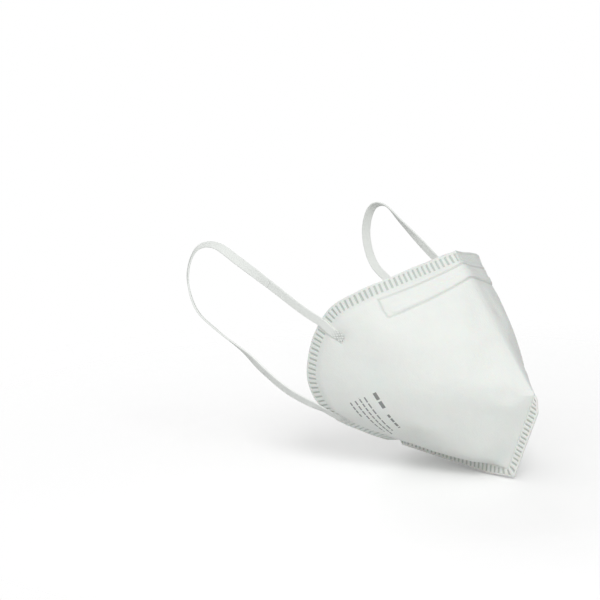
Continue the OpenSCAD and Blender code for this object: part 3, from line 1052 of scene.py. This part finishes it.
def dashes(g):
    """Share of grey ink: plain dashes in rows, with nothing to read."""
    along, down, printed = g.add("SeparateXYZ", {0: g.attribute("print_mm", "Vector")}).outputs
    ink = 0.0
    for row_down, start, end, half, pitch in PRINT_ROWS:
        row = g.math("LESS_THAN", g.math("ABSOLUTE", g.math("SUBTRACT", down, row_down)), half)
        after, before = g.math("GREATER_THAN", along, start), g.math("LESS_THAN", along, end)
        dash = g.math("LESS_THAN", g.math("FRACT", g.math("DIVIDE", along, pitch)), 0.8)
        ink = g.math("ADD", ink, g.times(row, after, before, dash))
    return g.times(ink, printed, 0.8)


def fabric(name, colour, fused_and_shade_colour, bond_pitch, softness, printed=False):
    """Spunbond nonwoven: bond points, loose fibres, cloudy weight, and welds and bond points in a darker
    grey that is partly the fused fabric's own and partly painted shade in their pressed recesses.
    """
    g = Graph(name)
    where = g.attribute("cloth_mm", "Vector")
    place_mm = g.in_mm()
    weld_and_shade = g.attribute("fused_and_shade")
    point = bonds(g, where, bond_pitch)
    fibres = 0.0
    for turn in (0.4, 1.9, 2.7):
        stretched = {"Vector": where, "Rotation": (0, 0, turn), "Scale": (3.2, 0.28, 1)}
        turned = g.add("Mapping", stretched).outputs[0]
        fibres = g.math("ADD", fibres, g.noise(turned, 2.2, 3.0, 0.6))
    cloud = g.noise(place_mm, 0.14, 4.0, 0.6)
    speck = g.noise(place_mm, 1.1, 3.0, 0.7)
    tone = g.math("ADD", g.scale(cloud, 0.3, 0.7, -0.5, 0.5), g.scale(speck, 0.3, 0.7, -0.5, 0.5))
    dim = tuple(c * 0.955 for c in colour[:3]) + (1,)
    tint = g.blend(g.scale(tone, -1, 1), dim, colour)
    # Bond points and welds go towards the darker grey: partly the fused fabric's tone, partly painted shade
    # in the pressed recesses
    tint = g.blend(g.math("MULTIPLY", point, 0.18), tint, fused_and_shade_colour)
    tint = g.blend(weld_and_shade, tint, fused_and_shade_colour)
    if printed:
        tint = g.blend(dashes(g), tint, srgb(105, 108, 106))
    loose = g.math("SUBTRACT", 1.0, weld_and_shade)
    height = g.math("ADD", g.math("MULTIPLY", fibres, 0.5 * softness), g.math("MULTIPLY", point, -0.55))
    bumped = g.bump(g.math("MULTIPLY", height, loose), 0.09 * MM)
    bumped = g.bump(cloud, 0.5 * MM, 0.6, bumped)
    return g.finish(Base_Color=tint, Roughness=g.scale(weld_and_shade, 0, 1, 0.82, 0.5), Normal=bumped,
                    Sheen_Weight=0.25, Sheen_Roughness=0.45,
                    Subsurface_Weight=0.12, Subsurface_Scale=1.2 * MM)


def elastic():
    """Knitted elastic: lengthwise ribs crossed by stitches."""
    g = Graph("knitted_elastic")
    split = g.add("SeparateXYZ", {0: g.attribute("knit_mm", "Vector")})
    along, across = split.outputs[0], split.outputs[1]
    k_across = 2 * math.pi * RIBS / LOOP_WIDTH
    rib = g.math("SINE", g.math("MULTIPLY", across, k_across))
    stitch = g.math("SINE", g.math("MULTIPLY", along, 2 * math.pi / STITCH))
    loops = g.math("MULTIPLY", g.math("ABSOLUTE", rib), g.math("ABSOLUTE", stitch))
    fuzz = g.noise(g.attribute("knit_mm", "Vector"), 6.0, 3.0, 0.7)
    weld_and_shade = g.attribute("fused_and_shade")
    colour = g.blend(g.scale(fuzz, 0.3, 0.7), srgb(238, 242, 238), srgb(250, 252, 249))
    colour = g.blend(g.math("MULTIPLY", loops, 0.2), colour, srgb(205, 211, 205))
    # The welded ends' hatch lines go dark grey: painted shade in the pressed lines, with some of the fused
    # elastic's own grey
    colour = g.blend(g.math("MULTIPLY", weld_and_shade, 0.7), colour, srgb(180, 186, 180))
    bumped = g.bump(g.math("ADD", loops, g.math("MULTIPLY", fuzz, 0.6)), 0.08 * MM)
    return g.finish(Base_Color=colour, Roughness=0.8, Normal=bumped, Sheen_Weight=0.35, Sheen_Roughness=0.4)


def wire_finish():
    """Dull aluminium strip with drawn lines."""
    g = Graph("nose_wire_metal")
    place_mm = g.in_mm()
    lines = g.noise(g.add("Mapping", {"Vector": place_mm, "Scale": (0.3, 4, 4)}).outputs[0], 2.0, 3.0, 0.6)
    colour = g.blend(lines, srgb(160, 165, 168), srgb(190, 194, 196))
    return g.finish(Base_Color=colour, Metallic=0.9, Roughness=g.scale(lines, 0, 1, 0.3, 0.5),
                    Normal=g.bump(lines, 0.03 * MM))


def paint(pieces, material):
    for piece in pieces:
        piece.data.materials.clear()
        piece.data.materials.append(material)


# ---------------------------------------------------------------- stage, light and camera


def make_floor():
    """Pale floor that fades into the white room and can't be seen from below."""
    low = cad_box[0].z - 0.6 * MM
    half = 3.0
    corners = [(x * half, y * half, low) for x, y in ((-1, -1), (1, -1), (1, 1), (-1, 1))]
    mesh = bpy.data.meshes.new("floor")
    mesh.from_pydata(corners, [], [(0, 1, 2, 3)])
    floor = bpy.data.objects.new("floor", mesh)
    bpy.context.scene.collection.objects.link(floor)
    g = Graph("pale_floor")
    where = g.add("NewGeometry").outputs["Position"]
    grain = g.noise(where, 3.0, 3.0, 0.5)
    away = g.add("VectorMath", {0: where}, operation="LENGTH").outputs["Value"]
    from_above = g.math("SUBTRACT", 1.0, g.add("NewGeometry").outputs["Backfacing"])
    shown = g.math("MULTIPLY", from_above, g.scale(away, 0.15, 0.36, 1.0, 0.0))
    seen = g.add("LightPath").outputs["Is Camera Ray"]
    white = g.blend(grain, srgb(252, 252, 252), srgb(255, 255, 255))
    colour = g.blend(seen, (0.7, 0.7, 0.7, 1), white)
    glow = g.math("MULTIPLY", seen, 0.1)
    paint([floor], g.finish(Base_Color=colour, Roughness=0.9, Specular_IOR_Level=0.1, Alpha=shown,
                            Emission_Color=(1, 1, 1, 1), Emission_Strength=glow))


def light(name, where, aim, width, power):
    data = bpy.data.lights.new(name, "AREA")
    data.size = width
    data.energy = power
    lamp = bpy.data.objects.new(name, data)
    lamp.location = where
    lamp.rotation_mode = "QUATERNION"
    lamp.rotation_quaternion = (Vector(aim) - Vector(where)).to_track_quat("-Z", "Y")
    bpy.context.scene.collection.objects.link(lamp)


def make_world(strength, lean, bright_way):
    """White behind the object; the light it gives is stronger from one side."""
    world = bpy.data.worlds.new("white_room")
    bpy.context.scene.world = world
    world.use_nodes = True
    tree = world.node_tree
    tree.nodes.clear()
    kinds = ["Background", "Background", "LightPath", "MixShader", "OutputWorld", "TexCoord",
             "VectorMath", "Math"]
    nodes = [tree.nodes.new("ShaderNode" + kind) for kind in kinds]
    seen, lighting, path, chosen, out, where, dot, level = nodes
    dot.operation, level.operation = "DOT_PRODUCT", "MULTIPLY_ADD"
    dot.inputs[1].default_value = unit(bright_way).tolist()
    level.inputs[1].default_value = strength * lean
    level.inputs[2].default_value = strength
    seen.inputs["Color"].default_value = lighting.inputs["Color"].default_value = (1, 1, 1, 1)
    links = [
        (where.outputs["Generated"], dot.inputs[0]),
        (dot.outputs["Value"], level.inputs[0]),
        (level.outputs[0], lighting.inputs["Strength"]),
        (path.outputs["Is Camera Ray"], chosen.inputs[0]),
        (lighting.outputs[0], chosen.inputs[1]),
        (seen.outputs[0], chosen.inputs[2]),
        (chosen.outputs[0], out.inputs[0]),
    ]
    for source, target in links:
        tree.links.new(source, target)


VIEW_AZIMUTH, VIEW_ELEVATION = math.radians(-50), math.radians(13)
VIEW_DISTANCE = 1500
VIEW_RIGHT, VIEW_UP = -85.8, -27.2
LENS, SENSOR = 163.6, 36


def make_camera():
    """Looks from the mask's front right, with the object right of the middle of the picture."""
    a, e = VIEW_AZIMUTH, VIEW_ELEVATION
    toward = np.array([math.sin(a) * math.cos(e), -math.cos(a) * math.cos(e), math.sin(e)])
    right = np.array([math.cos(a), math.sin(a), 0])
    up = np.cross(toward, right)
    where = NOSE + toward * VIEW_DISTANCE + right * VIEW_RIGHT + up * VIEW_UP
    data = bpy.data.cameras.new("camera")
    data.lens, data.sensor_width = LENS, SENSOR
    camera = bpy.data.objects.new("camera", data)
    placed = np.column_stack([right, up, toward, where * MM])
    camera.matrix_world = Matrix(placed.tolist() + [[0, 0, 0, 1]])
    bpy.context.scene.collection.objects.link(camera)
    bpy.context.scene.camera = camera


# ---------------------------------------------------------------- assembly

# Each fabric's second colour is the darker grey of its welds and bond points: partly the fused fabric,
# partly painted shade in their recesses
cover_fabric = fabric("spunbond_cover", srgb(240, 243, 239), srgb(198, 203, 197), 1.5, 1.0, True)
lining_fabric = fabric("spunbond_lining", srgb(238, 239, 235), srgb(210, 212, 206), 1.5, 1.3)
web_fabric = fabric("meltblown_web", srgb(243, 243, 240), srgb(214, 216, 210), 2.4, 0.6)
weld_fabric = fabric("welded_flange", srgb(248, 250, 246), srgb(198, 203, 196), 1.9, 0.4)

for side in SIDES:
    made = make_side(side)
    paint(made["cover"], cover_fabric)
    paint(made["lining"], lining_fabric)
    paint(made["web"], web_fabric)
paint([fold_strip()], lining_fabric)
paint([make_flange()], weld_fabric)
loop_elastic = elastic()
for side in SIDES:
    paint([make_top(side), make_rear(side), make_low(side)], loop_elastic)
paint([frame["nodes"]["nose_wire_" + side] for side in SIDES], wire_finish())

make_floor()
make_world(0.45, 0.75, (-0.8, -0.35, 0.45))
light("key", (-0.66, -0.8, 0.92), (0, -0.02, 0), 0.6, 7.2)
light("back", (0.45, 0.95, 0.55), (0, 0, 0), 0.8, 4.0)
make_camera()
bpy.context.scene.view_settings.view_transform = "Standard"
